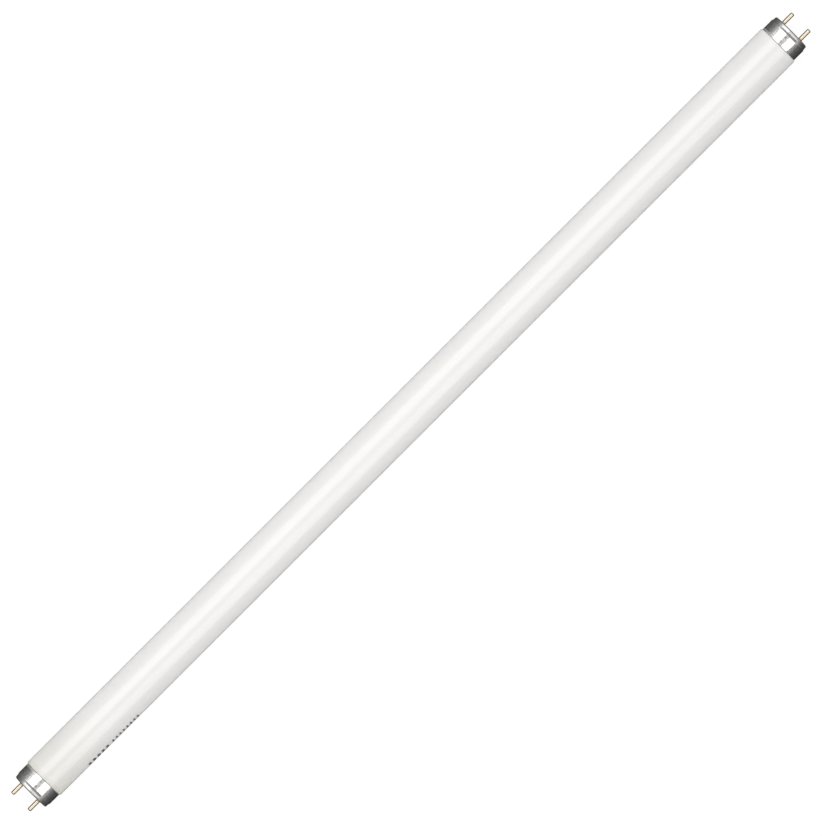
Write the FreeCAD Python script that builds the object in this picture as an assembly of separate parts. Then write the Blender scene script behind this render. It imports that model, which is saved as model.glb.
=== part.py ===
"""Fluorescent tube: a straight sealed glass bulb with a two-pin cap at each end.

Frame: X runs along the tube, Y across the two pins of a cap, Z is up.
Origin: the middle of the tube, on its axis. All sizes are in millimetres.

Each end is drawn at +X and mirrored to -X. A place at an end is given by its depth, measured inwards
from the cap's face, and by its radius from the tube's axis.
"""
import FreeCAD, Part
import math
import os
from FreeCAD import Vector

# The lamp as a whole
face_to_face = 588.4

# Cap shell, drawn from aluminium sheet
cap_length = 10.1
skirt_diameter = 24.2
nose_diameter = 23.36
nose_draft_deg = 5.0
nose_length = 1.65
step_length = 1.75
step_foot_share = 0.65
face_corner_radius = 0.75
face_opening_diameter = 19.0
shell_thickness = 0.3

# Punch marks in the skirt: the first holds the plate from behind, the second keys the cement
plate_mark_depth = 4.8
cement_mark_depth = 8.55
mark_ball_radius = 0.6
mark_sink = 0.2

# Insulator plate, moulded
plate_web_thickness = 1.6
plate_rim_thickness = 1.5
plate_clearance = 0.1
boss_recess = 0.1
boss_edge_radius = 0.15

# Contact pins, hollow brass
pin_spacing = 12.7
pin_diameter = 2.35
pin_length = 7.65
pin_tip_radius = 0.6
pin_tip_wall = 1.2
pin_bore_diameter = 1.3
pin_shank_diameter = 2.8
pin_flange_diameter = 4.0
pin_flange_thickness = 0.4

# Glass bulb
glass_diameter = 25.5
glass_wall = 0.6
shoulder_length = 1.3
neck_wall = 0.6
lip_thickness = 2.0
seal_length = 2.0
cement_thickness = 0.3
rim_clearance = 0.1
glass_end_clearance = 0.3
seam_turn_deg = 90

# Glass stem that reaches into the bulb at each end, with the sealed exhaust tube inside it
stem_bore_diameter = 7.2
stem_wall = 0.8
stem_length = 24.0
flare_length = 9.6
press_length = 6.0
exhaust_diameter = 3.8
exhaust_reach = 2.0

# Lead wires
lead_diameter = 0.5
lead_straight = 2.0

ORIGIN = Vector(0, 0, 0)
X_AXIS = Vector(1, 0, 0)

# Radii and depths that follow from the sizes above
face_x = face_to_face / 2
skirt_radius = skirt_diameter / 2
skirt_inner = skirt_radius - shell_thickness
nose_radius = nose_diameter / 2
draft = math.radians(nose_draft_deg)
nose_inner = nose_radius - shell_thickness / math.cos(draft)
nose_taper = (nose_length - face_corner_radius) * math.tan(draft)
face_edge = nose_radius - nose_taper - face_corner_radius / math.cos(draft)
opening_radius = face_opening_diameter / 2
step_end = nose_length + step_length

bump_radius = mark_ball_radius + shell_thickness
bump_reach = math.sqrt(bump_radius ** 2 - (bump_radius - mark_sink) ** 2)
plate_back = plate_mark_depth - bump_reach
web_back = shell_thickness + plate_web_thickness
glass_end = plate_mark_depth + bump_reach + glass_end_clearance

neck_radius = skirt_inner - cement_thickness
glass_radius = glass_diameter / 2
shoulder_rise = glass_radius - neck_radius
shoulder_bend = (shoulder_length ** 2 + shoulder_rise ** 2) / (4 * shoulder_rise)
rise_at_rim = min(cement_thickness - rim_clearance, shoulder_rise / 2)
neck_end = cap_length - math.sqrt(2 * shoulder_bend * rise_at_rim - rise_at_rim ** 2)

mouth_depth = glass_end + lip_thickness / 2
mouth_radius = neck_radius - lip_thickness
stem_bore = stem_bore_diameter / 2
stem_top = mouth_depth + flare_length
press_face = mouth_depth + stem_length
flare_bend = (flare_length ** 2 + (mouth_radius - stem_bore) ** 2) / (2 * (mouth_radius - stem_bore))

pin_across = pin_spacing / 2
pin_radius = pin_diameter / 2
pin_bore_end = pin_tip_wall - pin_length


def at(depth, radius):
    """Point of the half section that lies in the XY plane."""
    return Vector(face_x - depth, radius, 0)


class Outline:
    """A line of a half section, drawn from point to point in depth and radius."""

    def __init__(self, depth, radius):
        self.start = at(depth, radius)
        self.point = self.start
        self.edges = []

    def line_to(self, depth, radius):
        end = at(depth, radius)
        self.edges.append(Part.LineSegment(self.point, end).toShape())
        self.point = end

    def arc_to(self, depth, radius, centre_depth, centre_radius):
        """Arc of less than half a turn about a centre."""
        centre = at(centre_depth, centre_radius)
        end = at(depth, radius)
        spoke = self.point - centre
        middle = centre + (spoke + end - centre).normalize() * spoke.Length
        self.edges.append(Part.Arc(self.point, middle, end).toShape())
        self.point = end

    def half_round_to(self, depth, radius, crown_depth):
        """Round lip from here to a point at the same depth, through a crown between them."""
        end = at(depth, radius)
        crown = at(crown_depth, (self.point.y + radius) / 2)
        self.edges.append(Part.Arc(self.point, crown, end).toShape())
        self.point = end

    def swell_to(self, depth, radius, first=0.5):
        """Two arcs that leave and arrive along the tube; first is the first one's share of the way."""
        start_depth = face_x - self.point.x
        start_radius = self.point.y
        run = depth - start_depth
        rise = radius - start_radius
        bends = (run ** 2 + rise ** 2) / (2 * rise)
        self.arc_to(start_depth + first * run, start_radius + first * rise,
                    start_depth, start_radius + first * bends)
        self.arc_to(depth, radius, depth, radius - (1 - first) * bends)

    def close(self):
        self.edges.append(Part.LineSegment(self.point, self.start).toShape())

    def ring(self):
        """Solid of this closed outline, turned about the tube's axis."""
        self.close()
        return turn(self.edges)

    def bar(self):
        """Solid of this outline, which runs from the axis to the barrel, and its mirror image."""
        far = [edge.mirror(ORIGIN, X_AXIS) for edge in self.edges]
        barrel = Part.LineSegment(self.point, flipped(self.point)).toShape()
        axis = Part.LineSegment(self.start, flipped(self.start)).toShape()
        return turn(self.edges + far + [barrel, axis])


def flipped(point):
    return Vector(-point.x, point.y, point.z)


def turn(edges):
    wire = Part.Wire(Part.sortEdges(edges)[0])
    return Part.Face(wire).revolve(ORIGIN, X_AXIS, 360)


def glass_bulb():
    """One sealed piece: barrel, shoulders, necks, flared stems and tipped-off exhaust tubes."""
    exhaust_radius = exhaust_diameter / 2
    tip = glass_end - exhaust_reach
    skin = Outline(tip, 0)
    skin.arc_to(tip + exhaust_radius, exhaust_radius, tip + exhaust_radius, 0)
    skin.line_to(press_face, exhaust_radius)
    skin.line_to(press_face, stem_bore)
    skin.line_to(stem_top, stem_bore)
    skin.arc_to(mouth_depth, mouth_radius, stem_top, stem_bore + flare_bend)
    skin.half_round_to(mouth_depth, neck_radius, glass_end)
    skin.line_to(neck_end, neck_radius)
    skin.swell_to(neck_end + shoulder_length, glass_radius)

    stem_radius = stem_bore + stem_wall
    seal_depth = mouth_depth + seal_length
    inner_bend = flare_bend - stem_wall
    flare_drop = math.sqrt(inner_bend ** 2 - (stem_top - seal_depth) ** 2)
    neck_inner = neck_radius - neck_wall
    space = Outline(press_face + press_length, 0)
    space.line_to(press_face + press_length, stem_radius)
    space.line_to(stem_top, stem_radius)
    space.arc_to(seal_depth, stem_bore + flare_bend - flare_drop, stem_top, stem_bore + flare_bend)
    space.line_to(seal_depth, neck_inner)
    space.line_to(neck_end + glass_wall, neck_inner)
    space.swell_to(neck_end + glass_wall + shoulder_length, glass_radius - glass_wall)
    bulb = skin.bar().cut(space.bar())
    return bulb.rotated(ORIGIN, X_AXIS, seam_turn_deg)


def cap_shell():
    """Drawn cup: face with a round opening, nose, step and skirt, with punch marks above and below."""
    corner = face_corner_radius
    inner_corner = corner - shell_thickness
    cup = Outline(0, opening_radius)
    cup.line_to(0, face_edge)
    cup.arc_to(corner - corner * math.sin(draft), face_edge + corner * math.cos(draft), corner, face_edge)
    cup.line_to(nose_length, nose_radius)
    cup.swell_to(step_end, skirt_radius, step_foot_share)
    cup.line_to(cap_length, skirt_radius)
    cup.line_to(cap_length, skirt_inner)
    cup.line_to(step_end, skirt_inner)
    cup.swell_to(nose_length, nose_inner, 1 - step_foot_share)
    cup.line_to(corner - inner_corner * math.sin(draft), face_edge + inner_corner * math.cos(draft))
    cup.arc_to(shell_thickness, face_edge, corner, face_edge)
    cup.line_to(shell_thickness, opening_radius)
    shell = cup.ring()

    inside = Part.makeCylinder(skirt_radius - shell_thickness / 2, cap_length, at(cap_length, 0), X_AXIS)
    ball_height = skirt_radius - mark_sink + mark_ball_radius
    for depth in (plate_mark_depth, cement_mark_depth):
        for up in (ball_height, -ball_height):
            centre = Vector(face_x - depth, 0, up)
            bump = Part.makeSphere(bump_radius, centre).common(inside)
            shell = shell.fuse(bump).cut(Part.makeSphere(mark_ball_radius, centre))
    return shell


def insulator_plate():
    """Moulded cup that fills the nose, shows through the face opening and carries the pins."""
    boss_radius = opening_radius - plate_clearance
    body_radius = nose_inner - plate_clearance
    rim_radius = skirt_inner - plate_clearance
    plate = Outline(boss_recess, 0)
    plate.line_to(boss_recess, boss_radius - boss_edge_radius)
    plate.arc_to(boss_recess + boss_edge_radius, boss_radius,
                 boss_recess + boss_edge_radius, boss_radius - boss_edge_radius)
    plate.line_to(shell_thickness, boss_radius)
    plate.line_to(shell_thickness, face_edge)
    plate.line_to(face_corner_radius, body_radius - nose_taper)
    plate.line_to(nose_length, body_radius)
    plate.line_to(step_end, rim_radius)
    plate.line_to(plate_back, rim_radius)
    plate.line_to(plate_back, body_radius - plate_rim_thickness)
    plate.line_to(web_back, body_radius - plate_rim_thickness)
    plate.line_to(web_back, 0)
    disc = plate.ring()
    for across in (pin_across, -pin_across):
        hole = Part.makeCylinder(pin_shank_diameter / 2, web_back, at(web_back, across), X_AXIS)
        disc = disc.cut(hole)
    return disc


def contact_pin(across):
    """Hollow pin with a round tip, a shank in the plate and a flange behind it."""
    pin = Outline(-pin_length, 0)
    pin.line_to(-pin_length, pin_radius - pin_tip_radius)
    pin.arc_to(pin_tip_radius - pin_length, pin_radius,
               pin_tip_radius - pin_length, pin_radius - pin_tip_radius)
    pin.line_to(boss_recess, pin_radius)
    pin.line_to(boss_recess, pin_shank_diameter / 2)
    pin.line_to(web_back, pin_shank_diameter / 2)
    pin.line_to(web_back, pin_flange_diameter / 2)
    pin.line_to(web_back + pin_flange_thickness, pin_flange_diameter / 2)
    pin.line_to(web_back + pin_flange_thickness, pin_bore_diameter / 2)
    pin.line_to(pin_bore_end, pin_bore_diameter / 2)
    pin.line_to(pin_bore_end, 0)
    return pin.ring().translated(Vector(0, across, 0))


def capping_cement(shell):
    """Ring that fills the gap between the skirt and the glass neck, pressed in by the punch marks."""
    ring = Outline(mouth_depth, neck_radius)
    ring.line_to(mouth_depth, skirt_inner)
    ring.line_to(neck_end, skirt_inner)
    ring.line_to(neck_end, neck_radius)
    return ring.ring().cut(shell)


def lead_wire(across):
    """Wire from the stem's press, out through the flare and into the pin, bent twice."""
    side = math.copysign(1, across)
    start = at(press_face, side * (exhaust_diameter / 2 + stem_bore) / 2)
    first_bend = at(stem_top - lead_straight, start.y)
    second_bend = at(mouth_depth, across)
    end = at(pin_bore_end, across)
    slant = second_bend - first_bend
    half_turn = math.atan2(abs(slant.y), slant.x) / 2
    cut_back = min(lead_straight, slant.Length / 3)
    bend_radius = cut_back / math.tan(half_turn)

    along = X_AXIS * cut_back
    lean = Vector(slant).normalize() * cut_back
    sag = bend_radius * (1 / math.cos(half_turn) - 1)
    inward = (lean - along).normalize() * sag
    path = [
        Part.LineSegment(start, first_bend - along),
        Part.Arc(first_bend - along, first_bend + inward, first_bend + lean),
        Part.LineSegment(first_bend + lean, second_bend - lean),
        Part.Arc(second_bend - lean, second_bend - inward, second_bend + along),
        Part.LineSegment(second_bend + along, end),
    ]
    route = Part.Wire([piece.toShape() for piece in path])
    section = Part.Wire(Part.makeCircle(lead_diameter / 2, start, X_AXIS))
    return route.makePipeShell([section], True, False)


shell = cap_shell()
end_pieces = {
    "cap_shell": shell,
    "insulator_plate": insulator_plate(),
    "cap_cement": capping_cement(shell),
}
for place, across in (("front", -pin_across), ("back", pin_across)):
    end_pieces[place + "_pin"] = contact_pin(across)
    end_pieces[place + "_lead_wire"] = lead_wire(across)

pieces = {"glass_bulb": glass_bulb()}
for name, shape in end_pieces.items():
    pieces["right_" + name] = shape
    pieces["left_" + name] = shape.mirror(ORIGIN, X_AXIS)

os.makedirs("parts", exist_ok=True)
for name, shape in pieces.items():
    shape.exportStep("parts/" + name + ".step")
    print(name, shape.ShapeType, shape.isValid(), len(shape.Solids), round(shape.Volume, 2))
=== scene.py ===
"""Looks of a straight fluorescent tube: coated glass, drawn caps, moulded end plates and brass pins.

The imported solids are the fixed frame, in metres: X runs along the tube, Y across the two pins of a cap
and Z is up. Sizes of the pieces are in millimetres here, and a place at an end is given by its depth,
measured inwards from the cap's face. The studio around the tube is in metres.
"""

import math

import bmesh
import bpy
from mathutils import Matrix, Vector


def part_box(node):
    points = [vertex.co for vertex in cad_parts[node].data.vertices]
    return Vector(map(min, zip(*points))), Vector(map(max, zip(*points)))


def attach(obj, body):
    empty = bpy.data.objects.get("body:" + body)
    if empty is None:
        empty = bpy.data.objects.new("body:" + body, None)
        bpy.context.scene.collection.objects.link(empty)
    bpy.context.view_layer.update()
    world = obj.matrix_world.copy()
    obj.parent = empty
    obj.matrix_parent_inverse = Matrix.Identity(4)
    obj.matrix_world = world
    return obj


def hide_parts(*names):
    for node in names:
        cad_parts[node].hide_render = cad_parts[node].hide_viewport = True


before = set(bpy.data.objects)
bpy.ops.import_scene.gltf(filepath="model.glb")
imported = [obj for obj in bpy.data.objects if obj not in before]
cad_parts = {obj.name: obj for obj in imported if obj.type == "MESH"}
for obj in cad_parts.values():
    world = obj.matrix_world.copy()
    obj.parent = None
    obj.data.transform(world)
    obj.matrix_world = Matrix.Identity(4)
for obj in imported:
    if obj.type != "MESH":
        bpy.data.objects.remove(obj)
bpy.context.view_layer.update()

MM = 0.001
SIDES_OF_TUBE = 192
SIDES_OF_PIN = 64
STEPS_OF_ROUND = 8
SHARP_EDGE = math.radians(40)
SAME_SPOT = 0.001

# Faces of the caps and radii of tube and skirt, as packed
face_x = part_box("right_cap_shell")[1].x / MM
cap_length = face_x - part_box("right_cap_shell")[0].x / MM
skirt_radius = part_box("right_cap_shell")[1].y / MM
glass_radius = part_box("glass_bulb")[1].z / MM
pin_across = (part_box("right_back_pin")[0].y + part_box("right_back_pin")[1].y) / 2 / MM
pin_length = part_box("right_back_pin")[1].x / MM - face_x
pin_flange_radius = (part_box("right_back_pin")[1].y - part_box("right_back_pin")[0].y) / 2 / MM

# Cap
sheet = 0.3
nose_radius = 11.68
nose_length = 1.65
nose_draft = math.radians(5.0)
step_length = 1.75
step_foot = 0.65
face_corner = 0.75
opening_radius = 9.5
rim_round = 0.08
opening_round = 0.1
skirt_rows = 16

# Punch marks in the skirt: prints of a ball, each in a patch of finer faces
mark_depths = (4.8, 8.55)
mark_ball = 0.6
mark_sink = 0.2
mark_patch = 1.0
mark_cuts = 5

# Pin
boss_recess = 0.1
web_back = 1.9
pin_radius = 1.175
pin_tip_round = 0.6
pin_shank_radius = 1.4
pin_flange = 0.4
pin_bore_radius = 0.65
pin_bore_end = -6.45

# Glass
neck_radius = 11.5
neck_end = 9.631
shoulder = 1.3
mouth_depth = 6.666
lip = 2.0
lip_round = lip * 0.49
mouth_radius = neck_radius - lip
glass_end = mouth_depth - lip / 2
stem_radius = 3.6
stem_top = mouth_depth + 9.6
flare_foot = mouth_depth + 1.0
flare_bend = stem_top - 3.2
flare_round = 3.1
press_face = mouth_depth + 24.0
exhaust_radius = 1.9
exhaust_round = exhaust_radius * 0.98
exhaust_tip = glass_end - 2.0

# Two rounds that share a slope each stop just short of the other
ROUND_SHARE = 0.999

# Colours of the finishes, the darker and the paler of each where it varies
POWDER = ((0.852, 0.842, 0.820, 1), (0.892, 0.886, 0.870, 1))
# The thin powder colour also paints shade beside the left cap's rim
THIN_POWDER_AND_SHADE = (0.74, 0.725, 0.65, 1)
STAMP_INK = (0.03, 0.03, 0.034, 1)
ALUMINIUM = ((0.55, 0.54, 0.53, 1), (1.0, 0.99, 0.98, 1))
# Painted dark, for a reflection on the caps' face edge and for shade in the punch marks
PAINTED_DARK = (0.16, 0.155, 0.15, 1)
BRASS = ((0.58, 0.50, 0.36, 1), (0.68, 0.60, 0.46, 1))
BRASS_AT_A_SLANT = (0.40, 0.27, 0.14, 1)
# Painted dark reflection on the pins' sides and tips
DARK_BRASS_REFLECTION = (0.22, 0.14, 0.05, 1)
# Painted shade where the pins leave their plates
ROOT_SHADE = (0.32, 0.18, 0.09, 1)
MOULDING = ((0.030, 0.014, 0.009, 1), (0.085, 0.042, 0.026, 1))
CEMENT = ((0.36, 0.29, 0.20, 1), (0.62, 0.54, 0.42, 1))
PLATED_WIRE = ((0.46, 0.44, 0.41, 1), (0.66, 0.65, 0.62, 1))

# Glass finish: the powder is thinner towards the left cap, shade is painted beside that cap's rim and darker
# on the front half, and two groups of bars are stamped in front
thin_run = 50.0
thin_run_share = 0.4
# The edge settings and the front share paint shade beside the left cap's rim, darker on the front half
shade_edge = (4.0, 1.0)
painted_shade_edge_share = 0.35
painted_shade_front_share = 0.25
front_half = (0.0, -10.0)
first_bars = {"start": -260.75, "end": -245.5, "pitch": 3.35, "width": 1.8}
second_bars = {"start": -242.5, "end": -222.4, "pitch": 2.7, "width": 1.1}
stamp_top = math.radians(64.5)
stamp_foot = math.radians(82)
worn_ink = (0.30, 0.55)

# Cap finish: the nose is rubbed smooth, a dark reflection is painted on the face's edge and shade is painted
# in the marks, the rim is dull
mottle = (0.27, 0.67)
rubbed_tone = 0.62
rubbed_share = 0.75
rubbed_edge = (-0.4, 0.2)
# Painted dark reflection on the face's edge: its share, depths and radii
painted_edge_reflection = 0.75
edge_reflection_depths = (0.6, 0.2)
edge_reflection_radii = (10.7, 11.0)
# Painted shade in the punch marks: its shares and reach
mark_shade = (0.75, 0.4)
mark_shade_reach = (0.75, 0.35)
rim_depths = (1.4, 0.7)
rim_back_half = (1.0, 5.0)

# Pin finish: dark reflections painted on the sides and the tip, shade painted at the root
dark_reflection_share = 0.6
side_reflection_reach = (0.45, 1.05)
tip_reflection_depths = (0.7, 0.2)
root_run = 1.6
root_share = 0.7


def swell(depth, radius, far_depth, far_radius, first=0.5):
    """Two corners of a smooth rise, with the setbacks of their rounds; first is the first one's share."""
    run = far_depth - depth
    rise = far_radius - radius
    setbacks = (run ** 2 + rise ** 2) / (2 * run)
    near = (depth + first * setbacks, radius, abs(first * setbacks) * ROUND_SHARE)
    far = (far_depth - (1 - first) * setbacks, far_radius, abs((1 - first) * setbacks) * ROUND_SHARE)
    return [near, far]


def outline(corners, closed):
    """A line through corners of (depth, radius, setback), rounded where a setback is given."""
    shape = bmesh.new()
    spots = []
    for depth, radius, setback in corners:
        spots.append(shape.verts.new(((face_x - depth) * MM, 0.0, radius * MM)))
    for start, end in zip(spots, spots[1:]):
        shape.edges.new((start, end))
    if closed:
        shape.edges.new((spots[-1], spots[0]))
    for spot, (depth, radius, setback) in zip(spots, corners):
        if setback:
            bmesh.ops.bevel(shape, geom=[spot], offset=setback * MM, offset_type="OFFSET",
                            segments=STEPS_OF_ROUND, profile=0.5, affect="VERTICES", material=-1,
                            clamp_overlap=True)
    return shape


def spun(shape, sides, across=0.0):
    """Turns an outline about the tube's axis, and moves it to its own axis beside that."""
    bmesh.ops.spin(shape, geom=shape.verts[:] + shape.edges[:], cent=(0, 0, 0), axis=(1, 0, 0),
                   angle=2 * math.pi, steps=sides, use_merge=True)
    bmesh.ops.remove_doubles(shape, verts=shape.verts, dist=SAME_SPOT * MM)
    bmesh.ops.translate(shape, vec=(0, across * MM, 0), verts=shape.verts)
    bmesh.ops.recalc_face_normals(shape, faces=shape.faces)
    return shape


def put_left(shape):
    """Mirrors a right-hand piece to the left end."""
    bmesh.ops.scale(shape, vec=(-1, 1, 1), verts=shape.verts)
    bmesh.ops.recalc_face_normals(shape, faces=shape.faces)
    return shape


def finished(name, shape, finish, node):
    """Makes the piece, shades it smooth with its flat faces kept flat, and puts it in its node's place."""
    mesh = bpy.data.meshes.new(name)
    shape.to_mesh(mesh)
    shape.free()
    mesh.shade_smooth()
    mesh.set_sharp_from_angle(angle=SHARP_EDGE)
    mesh.materials.append(finish)
    piece = bpy.data.objects.new(name, mesh)
    bpy.context.scene.collection.objects.link(piece)
    even = piece.modifiers.new("even_shading", "WEIGHTED_NORMAL")
    even.keep_sharp = True
    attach(piece, "root")
    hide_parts(node)
    return piece


class Wire:
    """A value of a finish. Arithmetic on wires adds the Math nodes."""

    def __init__(self, finish, socket):
        self.finish = finish
        self.socket = socket

    def maths(self, operation, *values):
        return self.finish.node("ShaderNodeMath", {"operation": operation}, dict(enumerate(values)))

    def __add__(self, other):
        return self.maths("ADD", self, other)

    def __radd__(self, other):
        return self.maths("ADD", other, self)

    def __sub__(self, other):
        return self.maths("SUBTRACT", self, other)

    def __rsub__(self, other):
        return self.maths("SUBTRACT", other, self)

    def __mul__(self, other):
        return self.maths("MULTIPLY", self, other)

    def __rmul__(self, other):
        return self.maths("MULTIPLY", other, self)

    def __mod__(self, other):
        return self.maths("FLOORED_MODULO", self, other)

    def __gt__(self, other):
        return self.maths("GREATER_THAN", self, other)

    def __lt__(self, other):
        return self.maths("LESS_THAN", self, other)

    def __abs__(self):
        return self.maths("ABSOLUTE", self)


class Finish:
    """The node tree of a finish, of the floor and its cards or of the room's air."""

    def __init__(self, owner):
        owner.use_nodes = True
        self.owner = owner
        self.tree = owner.node_tree
        self.tree.nodes.clear()

    def node(self, kind, settings, sockets, out=0):
        """Adds a node, its settings first, then its sockets' values or wires, and gives one output."""
        made = self.tree.nodes.new(kind)
        for setting, value in settings.items():
            setattr(made, setting, value)
        for socket, value in sockets.items():
            if isinstance(value, Wire):
                self.tree.links.new(value.socket, made.inputs[socket])
            else:
                made.inputs[socket].default_value = value
        return Wire(self, made.outputs[out]) if made.outputs else None

    def place(self):
        """The spot on the object, in millimetres."""
        spot = self.node("ShaderNodeTexCoord", {}, {}, "Object")
        return self.node("ShaderNodeVectorMath", {"operation": "SCALE"}, {0: spot, "Scale": 1 / MM})

    def part(self, vector, letter):
        return self.node("ShaderNodeSeparateXYZ", {}, {0: vector}, letter)

    def angle(self, rise, run):
        """The angle whose rise and run are given, in radians."""
        return self.node("ShaderNodeMath", {"operation": "ARCTAN2"}, {0: rise, 1: run})

    def grain(self, place, stretch, detail):
        """Noise from 0 to 1, with its features per millimetre given along each axis."""
        drawn = self.node("ShaderNodeVectorMath", {"operation": "MULTIPLY"}, {0: place, 1: stretch})
        settings = {"noise_dimensions": "3D"}
        return self.node("ShaderNodeTexNoise", settings, {"Vector": drawn, "Scale": 1.0, "Detail": detail})

    def fade(self, value, start, end):
        """0 before start and 1 after end, with a soft passage between them."""
        settings = {"interpolation_type": "SMOOTHSTEP"}
        return self.node("ShaderNodeMapRange", settings, {"Value": value, "From Min": start, "From Max": end})

    def bars(self, along, start, end, pitch, width):
        """1 on bars of a width that repeat at a pitch from start to end, and 0 elsewhere."""
        return (along > start) * (along < end) * (((along - start) % pitch) < width)

    def blend(self, share, colour, other):
        return self.node("ShaderNodeMix", {"data_type": "RGBA"}, {0: share, 6: colour, 7: other}, 2)

    def relief(self, height, strength, depth):
        """Fine relief from a height of 0 to 1, with its depth in millimetres."""
        sockets = {"Strength": strength, "Distance": depth * MM, "Height": height}
        return self.node("ShaderNodeBump", {}, sockets)

    def skin(self, sockets):
        return self.node("ShaderNodeBsdfPrincipled", {}, sockets)

    def shown(self, shader, output="ShaderNodeOutputMaterial"):
        self.node(output, {}, {"Surface": shader})
        return self.owner


def coated_glass():
    """White powder behind clear glass: a warm white, thinner at the left, with painted shade beside the left
    cap's rim, darker on the front half, and a stamp of plain bars.
    """
    finish = Finish(bpy.data.materials.new("coated_glass"))
    place = finish.place()
    along = finish.part(place, "X")
    across = finish.part(place, "Y")
    up = finish.part(place, "Z")
    clouds = finish.grain(place, (0.02, 0.05, 0.05), 2.0)
    streaks = finish.grain(place, (0.01, 0.9, 0.9), 2.0)
    grit = finish.grain(place, (1.6, 1.6, 1.6), 2.0)
    powder = finish.blend(0.5 * clouds + 0.25 * streaks + 0.25 * grit, *POWDER)

    cap_edge_x = cap_length - face_x
    left_run = finish.fade(along, cap_edge_x + thin_run, cap_edge_x)
    # Painted shade beside the left cap's rim, darker on the front half, over the thinner powder
    shaded_left_edge = finish.fade(along, cap_edge_x + shade_edge[0], cap_edge_x + shade_edge[1])
    front = finish.fade(across, *front_half)
    thin_powder_and_shade = thin_run_share * left_run + (painted_shade_edge_share + painted_shade_front_share * front) * shaded_left_edge
    powder = finish.blend(thin_powder_and_shade, powder, THIN_POWDER_AND_SHADE)

    turn = finish.angle(-1 * across, up)
    band = (turn > stamp_top) * (turn < stamp_foot)
    stamp = (finish.bars(along, **first_bars) + finish.bars(along, **second_bars)) * band
    worn = finish.fade(finish.grain(place, (2.5, 2.5, 2.5), 4.0), *worn_ink)
    colour = finish.blend(stamp * (0.65 + 0.35 * worn), powder, STAMP_INK)

    ripple = finish.grain(place, (0.008, 0.35, 0.35), 1.0)
    gloss = finish.skin({
        "Base Color": colour, "Roughness": 0.07 + 0.05 * clouds + 0.2 * stamp, "IOR": 1.6,
        "Normal": finish.relief(ripple, 0.25, 0.02)})
    return finish.shown(gloss)


def drawn_aluminium():
    """Drawn sheet: mottled with wear and faint tool rings, smoother on the nose, with a painted dark
    reflection at the face's edge and painted shade in the marks.
    """
    finish = Finish(bpy.data.materials.new("cap_aluminium"))
    place = finish.place()
    along = abs(finish.part(place, "X"))
    across = finish.part(place, "Y")
    rings = finish.grain(place, (6.0, 0.12, 0.12), 3.0)
    scuffs = finish.grain(place, (0.5, 2.2, 2.2), 3.0)
    clouds = finish.grain(place, (1.5, 1.0, 1.0), 3.0)
    wear = finish.fade(0.65 * clouds + 0.25 * scuffs + 0.1 * rings, *mottle)
    nose_foot_x = face_x - nose_length
    nose = finish.fade(along, nose_foot_x + rubbed_edge[0], nose_foot_x + rubbed_edge[1])
    rubbed = rubbed_share * nose
    metal = finish.blend(wear + rubbed * (rubbed_tone - wear), *ALUMINIUM)

    turned = finish.node("ShaderNodeVectorMath", {"operation": "MULTIPLY"}, {0: place, 1: (0, 1, 1)})
    radius = finish.node("ShaderNodeVectorMath", {"operation": "LENGTH"}, {0: turned}, "Value")
    # Painted dark reflection along the rounded edge of the face
    edge = finish.fade(along, face_x - edge_reflection_depths[0], face_x - edge_reflection_depths[1])
    edge = edge * finish.fade(radius, *edge_reflection_radii)
    metal = finish.blend(painted_edge_reflection * edge, metal, PAINTED_DARK)

    # Painted shade in the punch marks
    folded = finish.node("ShaderNodeVectorMath", {"operation": "ABSOLUTE"}, {0: place})
    for depth, shade_share in zip(mark_depths, mark_shade):
        mark = {0: folded, 1: (face_x - depth, 0, skirt_radius)}
        away = finish.node("ShaderNodeVectorMath", {"operation": "DISTANCE"}, mark, "Value")
        metal = finish.blend(shade_share * finish.fade(away, *mark_shade_reach), metal, PAINTED_DARK)

    rim_x = face_x - cap_length
    rim = finish.fade(along, rim_x + rim_depths[0], rim_x + rim_depths[1])
    rim = rim * finish.fade(across, *rim_back_half)
    tooling = (0.5 * rings + 0.4 * clouds) * (1.0 - rubbed)
    shine = finish.skin({
        "Base Color": metal, "Metallic": 1.0 - 0.25 * rim, "Roughness": 0.11 + 0.10 * clouds,
        "Normal": finish.relief(tooling, 0.15, 0.02)})
    return finish.shown(shine)


def pin_brass():
    """Pale polished brass, with shade painted where a pin leaves its plate and dark reflections painted at
    its tip and on its outer sides.
    """
    finish = Finish(bpy.data.materials.new("pin_brass"))
    place = finish.place()
    along = abs(finish.part(place, "X"))
    aside = abs(abs(finish.part(place, "Y")) - pin_across)
    clouds = finish.grain(place, (0.5, 0.8, 0.8), 2.0)
    rings = finish.grain(place, (5.0, 0.2, 0.2), 2.0)
    tip_x = face_x + pin_length
    # Painted shade where the pin leaves the plate
    root = finish.fade(along, face_x + root_run, face_x)
    # Painted dark reflections on the sides and at the tip
    side = finish.fade(aside, *side_reflection_reach)
    tip = finish.fade(along, tip_x - tip_reflection_depths[0], tip_x - tip_reflection_depths[1])
    metal = finish.blend(0.7 * clouds + 0.3 * rings, *BRASS)
    # Painted dark reflections on the sides and the tip
    metal = finish.blend(dark_reflection_share * side, metal, DARK_BRASS_REFLECTION)
    metal = finish.blend(dark_reflection_share * tip, metal, DARK_BRASS_REFLECTION)
    # Painted shade at the root
    metal = finish.blend(root_share * root, metal, ROOT_SHADE)
    shine = finish.skin({
        "Base Color": metal, "Metallic": 1.0, "Roughness": 0.07 + 0.07 * clouds + 0.15 * root,
        "Normal": finish.relief(rings, 0.1, 0.01), "Specular Tint": BRASS_AT_A_SLANT})
    return finish.shown(shine)


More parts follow.
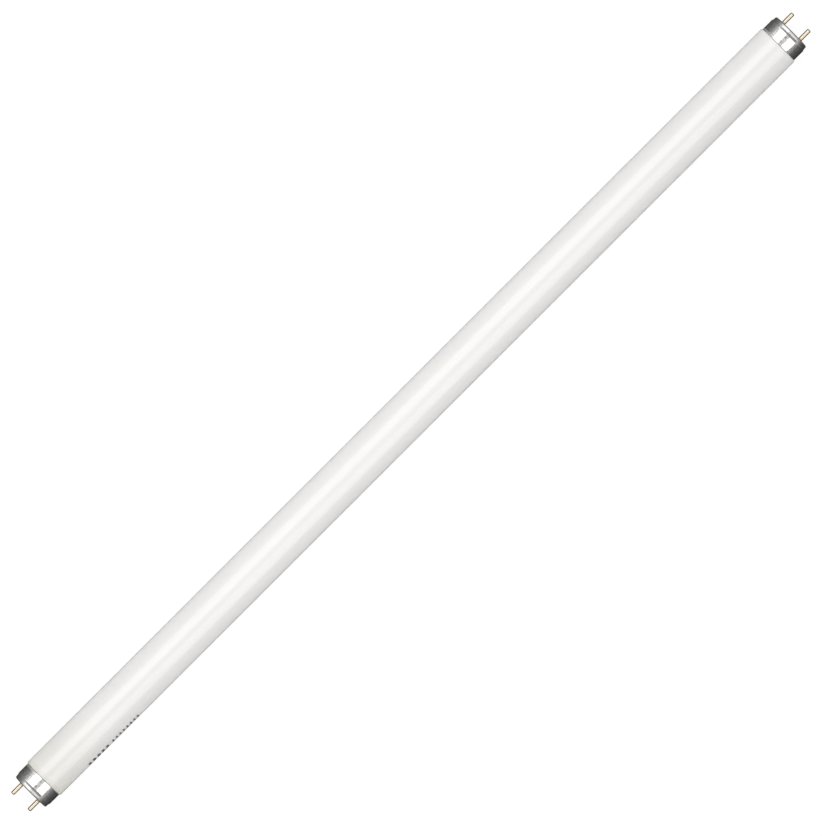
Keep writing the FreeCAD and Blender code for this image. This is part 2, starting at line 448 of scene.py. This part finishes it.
def plate_moulding():
    """Dark brown moulding with a fine pressed grain."""
    finish = Finish(bpy.data.materials.new("plate_moulding"))
    place = finish.place()
    flow = finish.grain(place, (0.5, 0.5, 0.5), 4.0)
    grit = finish.grain(place, (6.0, 6.0, 6.0), 2.0)
    brown = finish.blend(0.6 * flow + 0.4 * grit, *MOULDING)
    face = finish.skin({
        "Base Color": brown, "Roughness": 0.38 + 0.2 * flow, "Normal": finish.relief(grit, 0.3, 0.03)})
    return finish.shown(face)


def set_cement():
    """Tan baked cement, chalky and pitted."""
    finish = Finish(bpy.data.materials.new("capping_cement"))
    place = finish.place()
    lumps = finish.grain(place, (1.2, 1.2, 1.2), 4.0)
    pits = finish.grain(place, (5.0, 5.0, 5.0), 3.0)
    tan = finish.blend(0.6 * lumps + 0.4 * pits, *CEMENT)
    face = finish.skin({
        "Base Color": tan, "Roughness": 0.82 + 0.15 * pits, "Normal": finish.relief(pits, 0.6, 0.08)})
    return finish.shown(face)


def drawn_wire():
    """Plated lead wire with draw lines along it and a dull bloom."""
    finish = Finish(bpy.data.materials.new("lead_wire"))
    place = finish.place()
    lines = finish.grain(place, (0.3, 9.0, 9.0), 3.0)
    bloom = finish.grain(place, (0.8, 0.8, 0.8), 3.0)
    metal = finish.blend(0.5 * lines + 0.5 * bloom, *PLATED_WIRE)
    shine = finish.skin({
        "Base Color": metal, "Metallic": 1.0, "Roughness": 0.28 + 0.2 * bloom,
        "Normal": finish.relief(lines, 0.3, 0.01)})
    return finish.shown(shine)


def glass_tube():
    """Barrel, shoulders and necks with their rolled mouths and flared stems, as one closed skin."""
    end = [(exhaust_tip, 0, 0), (exhaust_tip, exhaust_radius, exhaust_round)]
    end += [(press_face, exhaust_radius, 0), (press_face, stem_radius, 0)]
    end += [(flare_bend, stem_radius, flare_round), (flare_foot, mouth_radius, 0)]
    end += [(glass_end, mouth_radius, lip_round), (glass_end, neck_radius, lip_round)]
    end += swell(neck_end, neck_radius, neck_end + shoulder, glass_radius)
    other_end = [(2 * face_x - depth, radius, setback) for depth, radius, setback in reversed(end)]
    return spun(outline(end + other_end, closed=False), SIDES_OF_TUBE)


def cap():
    """Drawn cup with a turned-in face, a nose, a step up to the skirt and punch marks above and below."""
    step_end = nose_length + step_length
    slope = math.tan(nose_draft)
    nose_inner = nose_radius - sheet / math.cos(nose_draft)
    skirt_inner = skirt_radius - sheet
    setback = 1 / math.tan(math.radians(45) + nose_draft / 2)
    cup = [(0, opening_radius, opening_round)]
    cup += [(0, nose_radius - nose_length * slope, face_corner * setback), (nose_length, nose_radius, 0)]
    cup += swell(nose_length, nose_radius, step_end, skirt_radius, step_foot)
    skirt_places = [step_end + row * (cap_length - step_end) / skirt_rows for row in range(1, skirt_rows)]
    cup += [(depth, skirt_radius, 0) for depth in skirt_places]
    cup += [(cap_length, skirt_radius, rim_round), (cap_length, skirt_inner, rim_round)]
    cup += swell(step_end, skirt_inner, nose_length, nose_inner, 1 - step_foot)
    inner_edge = nose_inner - (nose_length - sheet) * slope
    cup += [(nose_length, nose_inner, 0), (sheet, inner_edge, (face_corner - sheet) * setback)]
    cup += [(sheet, opening_radius, opening_round)]
    shell = spun(outline(cup, closed=True), SIDES_OF_TUBE)
    for depth in mark_depths:
        for side in (1, -1):
            punch(shell, depth, side)
    return shell


def punch(shell, depth, side):
    """Presses a ball into the skirt from above or below."""
    spot = Vector(((face_x - depth) * MM, 0, side * skirt_radius * MM))
    ball = spot + Vector((0, 0, side * (mark_ball - mark_sink) * MM))
    near = []
    for edge in shell.edges:
        if all((vert.co - spot).length < mark_patch * MM for vert in edge.verts):
            if all(vert.co.yz.length > (skirt_radius - sheet / 2) * MM for vert in edge.verts):
                near.append(edge)
    bmesh.ops.subdivide_edges(shell, edges=near, cuts=mark_cuts, use_grid_fill=True)
    for vert in shell.verts:
        reach = vert.co - ball
        if reach.length < mark_ball * MM:
            vert.co = ball + reach.normalized() * mark_ball * MM


def pin(across):
    """Hollow pin with a round tip, a shank held in the plate and a flange behind it."""
    rod = [(-pin_length, 0, 0), (-pin_length, pin_radius, pin_tip_round)]
    rod += [(boss_recess, pin_radius, 0), (boss_recess, pin_shank_radius, 0)]
    rod += [(web_back, pin_shank_radius, 0), (web_back, pin_flange_radius, 0)]
    rod += [(web_back + pin_flange, pin_flange_radius, 0), (web_back + pin_flange, pin_bore_radius, 0)]
    rod += [(pin_bore_end, pin_bore_radius, 0), (pin_bore_end, 0, 0)]
    return spun(outline(rod, closed=False), SIDES_OF_PIN, across)


glass = coated_glass()
aluminium = drawn_aluminium()
brass = pin_brass()
packed_finishes = {
    "insulator_plate": plate_moulding(),
    "cap_cement": set_cement(),
    "lead_wire": drawn_wire(),
}

finished("coated_glass_tube", glass_tube(), glass, "glass_bulb")
for end, placed in (("right", lambda shape: shape), ("left", put_left)):
    finished(end + "_drawn_cap", placed(cap()), aluminium, end + "_cap_shell")
    for place, across in (("front", -pin_across), ("back", pin_across)):
        name = end + "_" + place
        finished(name + "_brass_pin", placed(pin(across)), brass, name + "_pin")

for name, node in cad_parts.items():
    for ending, finish in packed_finishes.items():
        if name.endswith(ending):
            node.data.materials.clear()
            node.data.materials.append(finish)

# Floor, in metres: pale paper that turns up far off, and glows to the camera and in gloss
floor_z = -glass_radius * MM
floor_reach = 16.0
floor_bend = 2.0
floor_bend_steps = 12
floor_height = 4.0
floor_sides = 96
paper_colour = (0.95, 0.95, 0.95, 1)
paper_glow = 1.05
glow_share = 0.88

# Dark cards: a tray under the tube that only gloss shows, paler the higher it stands. Its back half is
# paler and climbs less, and it is paler past the caps and straight ahead of the ends.
card_length = 2.4
card_width = 1.6
card_height = 0.42
card_low = 0.018
card_level = 0.115
card_back_level = 0.085
card_climb = 2.9
card_back_climb = 0.6
card_cap_x = 0.29
card_cap_slopes = (0.2, 0.5)
card_cap_lift = 0.6
card_cap_back_lift = 0.4
card_face_x = 0.294
card_ahead_slope = 0.65
card_ahead_run = (0.01, 0.03)
card_ahead_width = (0.12, 0.08)
card_ahead_lift = 0.3

# Lamps: those in gloss stand nearer than those that only light. Each is given by its two angles off the
# vertical in degrees and its level of brightness.
LAMP_WATTS = math.pi
lamp_reach = 1.2
lamp_length = 0.8
edge_length = 2.2
end_length = 0.35
end_middle = (lamp_length + end_length) / 2
far_length = 1.6
far_middle = lamp_length / 2 + end_length + far_length / 2
soft_reach = 2.0
soft_length = 3.6
soft_end_length = 0.6
soft_end_middle = 0.95
near_lamps = (
    ("key_lamp", 9, 48, lamp_length, 1.65),
    ("key_edge_lamp", 9, 81, edge_length, 0.46),
    ("fill_lamp", -57, -16, lamp_length, 1.75),
    ("top_lamp", -16, 9, lamp_length, 0.52),
)
soft_lamps = (
    ("overhead_lamp", -72, 72, 0.163),
    ("front_soft_lamp", -60, 0, 0.12),
    ("back_side_lamp", 40, 88, 0.42),
    ("front_side_lamp", -78, -36, 0.47),
)
end_angle = 76
end_level = 0.75
far_angle = 65
far_level = 0.16
right_soft_level = 1.6
left_soft_level = 1.05
haze_level = 0.12


def pale_floor():
    finish = Finish(bpy.data.materials.new("pale_floor"))
    seen = finish.node("ShaderNodeLightPath", {}, {}, "Is Camera Ray")
    mirrored = finish.node("ShaderNodeLightPath", {}, {}, "Is Glossy Ray")
    through = finish.node("ShaderNodeLightPath", {}, {}, "Is Transmission Ray")
    paper = finish.node("ShaderNodeBsdfDiffuse", {}, {"Color": paper_colour})
    glow = finish.node("ShaderNodeEmission", {}, {"Color": (1, 1, 1, 1), "Strength": paper_glow})
    share = glow_share * (seen + mirrored + through)
    mixed = finish.node("ShaderNodeMixShader", {}, {0: share, 1: paper, 2: glow})
    return finish.shown(mixed)


def floor_sweep():
    shape = bmesh.new()
    centre = shape.verts.new((0, 0, floor_z))
    foot = shape.verts.new((floor_reach, 0, floor_z))
    top = shape.verts.new((floor_reach, 0, floor_z + floor_height))
    shape.edges.new((centre, foot))
    shape.edges.new((foot, top))
    bmesh.ops.bevel(shape, geom=[foot], offset=floor_bend, offset_type="OFFSET", segments=floor_bend_steps,
                    profile=0.5, affect="VERTICES", material=-1)
    bmesh.ops.spin(shape, geom=shape.verts[:] + shape.edges[:], cent=(0, 0, 0), axis=(0, 0, 1),
                   angle=2 * math.pi, steps=floor_sides, use_merge=True)
    bmesh.ops.remove_doubles(shape, verts=shape.verts, dist=MM)
    bmesh.ops.recalc_face_normals(shape, faces=shape.faces)
    mesh = bpy.data.meshes.new("floor_sweep")
    shape.to_mesh(mesh)
    shape.free()
    mesh.shade_smooth()
    mesh.materials.append(pale_floor())
    sweep = bpy.data.objects.new("floor_sweep", mesh)
    bpy.context.scene.collection.objects.link(sweep)


def dark_card():
    finish = Finish(bpy.data.materials.new("dark_card"))
    place = finish.node("ShaderNodeTexCoord", {}, {}, "Object")
    along = abs(finish.part(place, "X"))
    across = finish.part(place, "Y")
    up = finish.part(place, "Z")
    aside = abs(across)
    behind = across > 0.0
    steep = finish.angle(up, aside) * (card_climb - card_back_climb * behind)
    climb = finish.node("ShaderNodeMath", {"operation": "EXPONENT"}, {0: steep})
    past_cap = finish.fade(along - card_cap_x, card_cap_slopes[0] * aside, card_cap_slopes[1] * aside)
    ahead = finish.fade(along - card_face_x - card_ahead_slope * aside, *card_ahead_run)
    ahead = ahead * finish.fade(aside, *card_ahead_width)
    level = card_low + (card_level + card_back_level * behind) * climb
    level = level * (1 + (card_cap_lift - card_cap_back_lift * behind) * past_cap)
    level = level + card_ahead_lift * ahead
    black = finish.node("ShaderNodeEmission", {}, {"Strength": 0.0})
    white = finish.node("ShaderNodeEmission", {}, {"Strength": 1.0})
    return finish.shown(finish.node("ShaderNodeMixShader", {}, {0: level, 1: black, 2: white}))


def dark_cards():
    """Cards under the tube and along both sides, open above and at the ends."""
    shape = bmesh.new()
    bmesh.ops.create_cube(shape, size=1.0)
    bmesh.ops.scale(shape, vec=(card_length, card_width, card_height), verts=shape.verts)
    bmesh.ops.translate(shape, vec=(0, 0, floor_z + MM + card_height / 2), verts=shape.verts)
    open_sides = [face for face in shape.faces if face.normal.z > 0.5 or abs(face.normal.x) > 0.5]
    bmesh.ops.delete(shape, geom=open_sides, context="FACES_ONLY")
    mesh = bpy.data.meshes.new("dark_cards")
    shape.to_mesh(mesh)
    shape.free()
    mesh.materials.append(dark_card())
    box = bpy.data.objects.new("dark_cards", mesh)
    bpy.context.scene.collection.objects.link(box)
    box.visible_camera = False
    box.visible_diffuse = False
    box.visible_transmission = False
    box.visible_shadow = False


def soft_lamp(name, low, high, reach, length, middle, level, mirrored=True, lights=True):
    """A flat lamp along the tube, from one angle off the vertical to another, at a level of brightness."""
    lean = math.radians((low + high) / 2)
    width = 2 * reach * math.tan(math.radians((high - low) / 2))
    lamp = bpy.data.lights.new(name, "AREA")
    lamp.shape = "RECTANGLE"
    lamp.size = length
    lamp.size_y = width
    lamp.energy = level * length * width * LAMP_WATTS
    holder = bpy.data.objects.new(name, lamp)
    holder.location = (middle, reach * math.sin(lean), reach * math.cos(lean))
    holder.rotation_euler = (-lean, 0, 0)
    holder.visible_camera = False
    holder.visible_glossy = mirrored
    holder.visible_diffuse = lights
    bpy.context.scene.collection.objects.link(holder)


floor_sweep()
dark_cards()
for name, low, high, length, level in near_lamps:
    soft_lamp(name, low, high, lamp_reach, length, 0.0, level)
for name, low, high, level in soft_lamps:
    soft_lamp(name, low, high, soft_reach, soft_length, 0.0, level, mirrored=False)
for end, side, level in (("right", 1, right_soft_level), ("left", -1, left_soft_level)):
    soft_lamp(end + "_end_lamp", -end_angle, end_angle, lamp_reach, end_length, side * end_middle,
              end_level, lights=False)
    soft_lamp(end + "_far_lamp", -far_angle, far_angle, lamp_reach, far_length, side * far_middle,
              far_level, lights=False)
    soft_lamp(end + "_soft_lamp", -far_angle, far_angle, soft_reach, soft_end_length,
              side * soft_end_middle, level, mirrored=False)

room = bpy.data.worlds.new("room")
bpy.context.scene.world = room
air = Finish(room)
haze = air.node("ShaderNodeBackground", {}, {"Color": (1, 1, 1, 1), "Strength": haze_level})
air.shown(haze, "ShaderNodeOutputWorld")

# Camera straight above the tube, turned so that the tube runs from lower left to upper right
camera_height = 8.0
picture_height = 0.4573
picture_turn = math.radians(-44.98)
aim = Vector((-0.00232, -0.00240, 0))

lens = bpy.data.cameras.new("camera")
lens.sensor_width = 36.0
lens.lens = lens.sensor_width * camera_height / picture_height
lens.clip_end = 40.0
camera = bpy.data.objects.new("camera", lens)
back = Vector((0, 0, 1))
picture_up = Vector((-math.sin(picture_turn), math.cos(picture_turn), 0))
picture_right = picture_up.cross(back).normalized()
stand = Matrix((picture_right, back.cross(picture_right), back)).transposed().to_4x4()
stand.translation = aim + camera_height * back
camera.matrix_world = stand
bpy.context.scene.collection.objects.link(camera)
bpy.context.scene.camera = camera

bpy.context.scene.view_settings.view_transform = "Standard"
